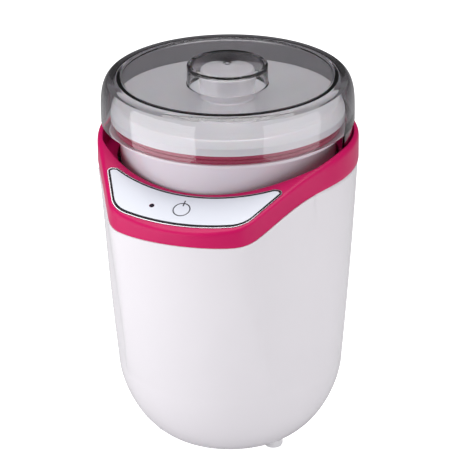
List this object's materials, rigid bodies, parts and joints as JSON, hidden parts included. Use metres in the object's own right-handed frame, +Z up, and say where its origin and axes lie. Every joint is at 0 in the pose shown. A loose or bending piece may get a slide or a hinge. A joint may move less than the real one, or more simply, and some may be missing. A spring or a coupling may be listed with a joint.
{
  "type": "yogurt maker",
  "caption": "Cup-shaped electric yogurt maker with a forward console, a coloured collar, a lidded lift-out container and a smoky outer lid with a hollow boss.",
  "frame": {"origin": "middle of the footprint's bounding box, on the surface it stands on; the cup's axis is at Y = +8.15 mm", "axes": "+Z up; the console and its panel face -Y, the mains inlet +Y; +X is to the right of someone facing the console"},
  "size_m": [0.152, 0.1683, 0.2313],
  "materials": {
    "shell": "gloss",
    "collar": "gloss",
    "trim": "polished",
    "bezel": "gloss",
    "panel": "gloss",
    "lens": "gloss",
    "board": "satin",
    "screw": "satin",
    "switch": "matte",
    "plunger": "matte",
    "key": "matte",
    "foot": "matte",
    "plate": "satin",
    "liner": "satin",
    "heater": "matte",
    "clamp": "satin",
    "sensor": "satin",
    "fuse": "satin",
    "jacket": "matte",
    "parts": "matte",
    "inlet": "satin",
    "pin": "satin",
    "wire": "satin",
    "jar": "gloss",
    "seal": "satin",
    "jar_lid": "gloss",
    "smoke": "polished clear plastic, tinted"
  },
  "bodies": {
    "base": {"outer_shell": "shell", "base_cover": "shell", "feet": "foot", "base_screws": "screw", "rating_plate": "plate", "collar": "collar", "panel_trim": "trim", "panel_bezel": "bezel", "control_panel": "panel", "led_lens": "lens", "control_board": "board", "board_screws": "screw", "tact_switch": "switch", "chamber_liner": "liner", "heater_plate": "heater", "heater_clamp": "clamp", "temp_sensor": "sensor", "thermal_fuse": "fuse", "insulation_jacket": "jacket", "liner_screws": "screw", "power_board": "board", "board_parts": "parts", "power_screws": "screw", "inlet_housing": "inlet", "inlet_pins": "pin", "wires": "wire"},
    "key": {"power_key": "key", "switch_plunger": "plunger"},
    "container": {"container": "jar"},
    "container_lid": {"container_lid": "jar_lid", "lid_seal": "seal"},
    "outer_lid": {"smoked_lid": "smoke"}
  },
  "joints": [
    {"name": "power_key_press", "type": "slide", "parent": "base", "child": "key", "axis": [0, 0.3987, -0.9171], "range_m": [0, 0.0005], "stiffness_N_per_m": 1500, "springref_m": -0.0004},
    {"name": "container_lift", "type": "slide", "parent": "base", "child": "container", "axis": [0, 0, 1], "range_m": [0, 0.15]},
    {"name": "container_lid_lift", "type": "slide", "parent": "container", "child": "container_lid", "axis": [0, 0, 1], "range_m": [0, 0.1]},
    {"name": "outer_lid_lift", "type": "slide", "parent": "container_lid", "child": "outer_lid", "axis": [0, 0, 1], "range_m": [0, 0.1]}
  ]
}
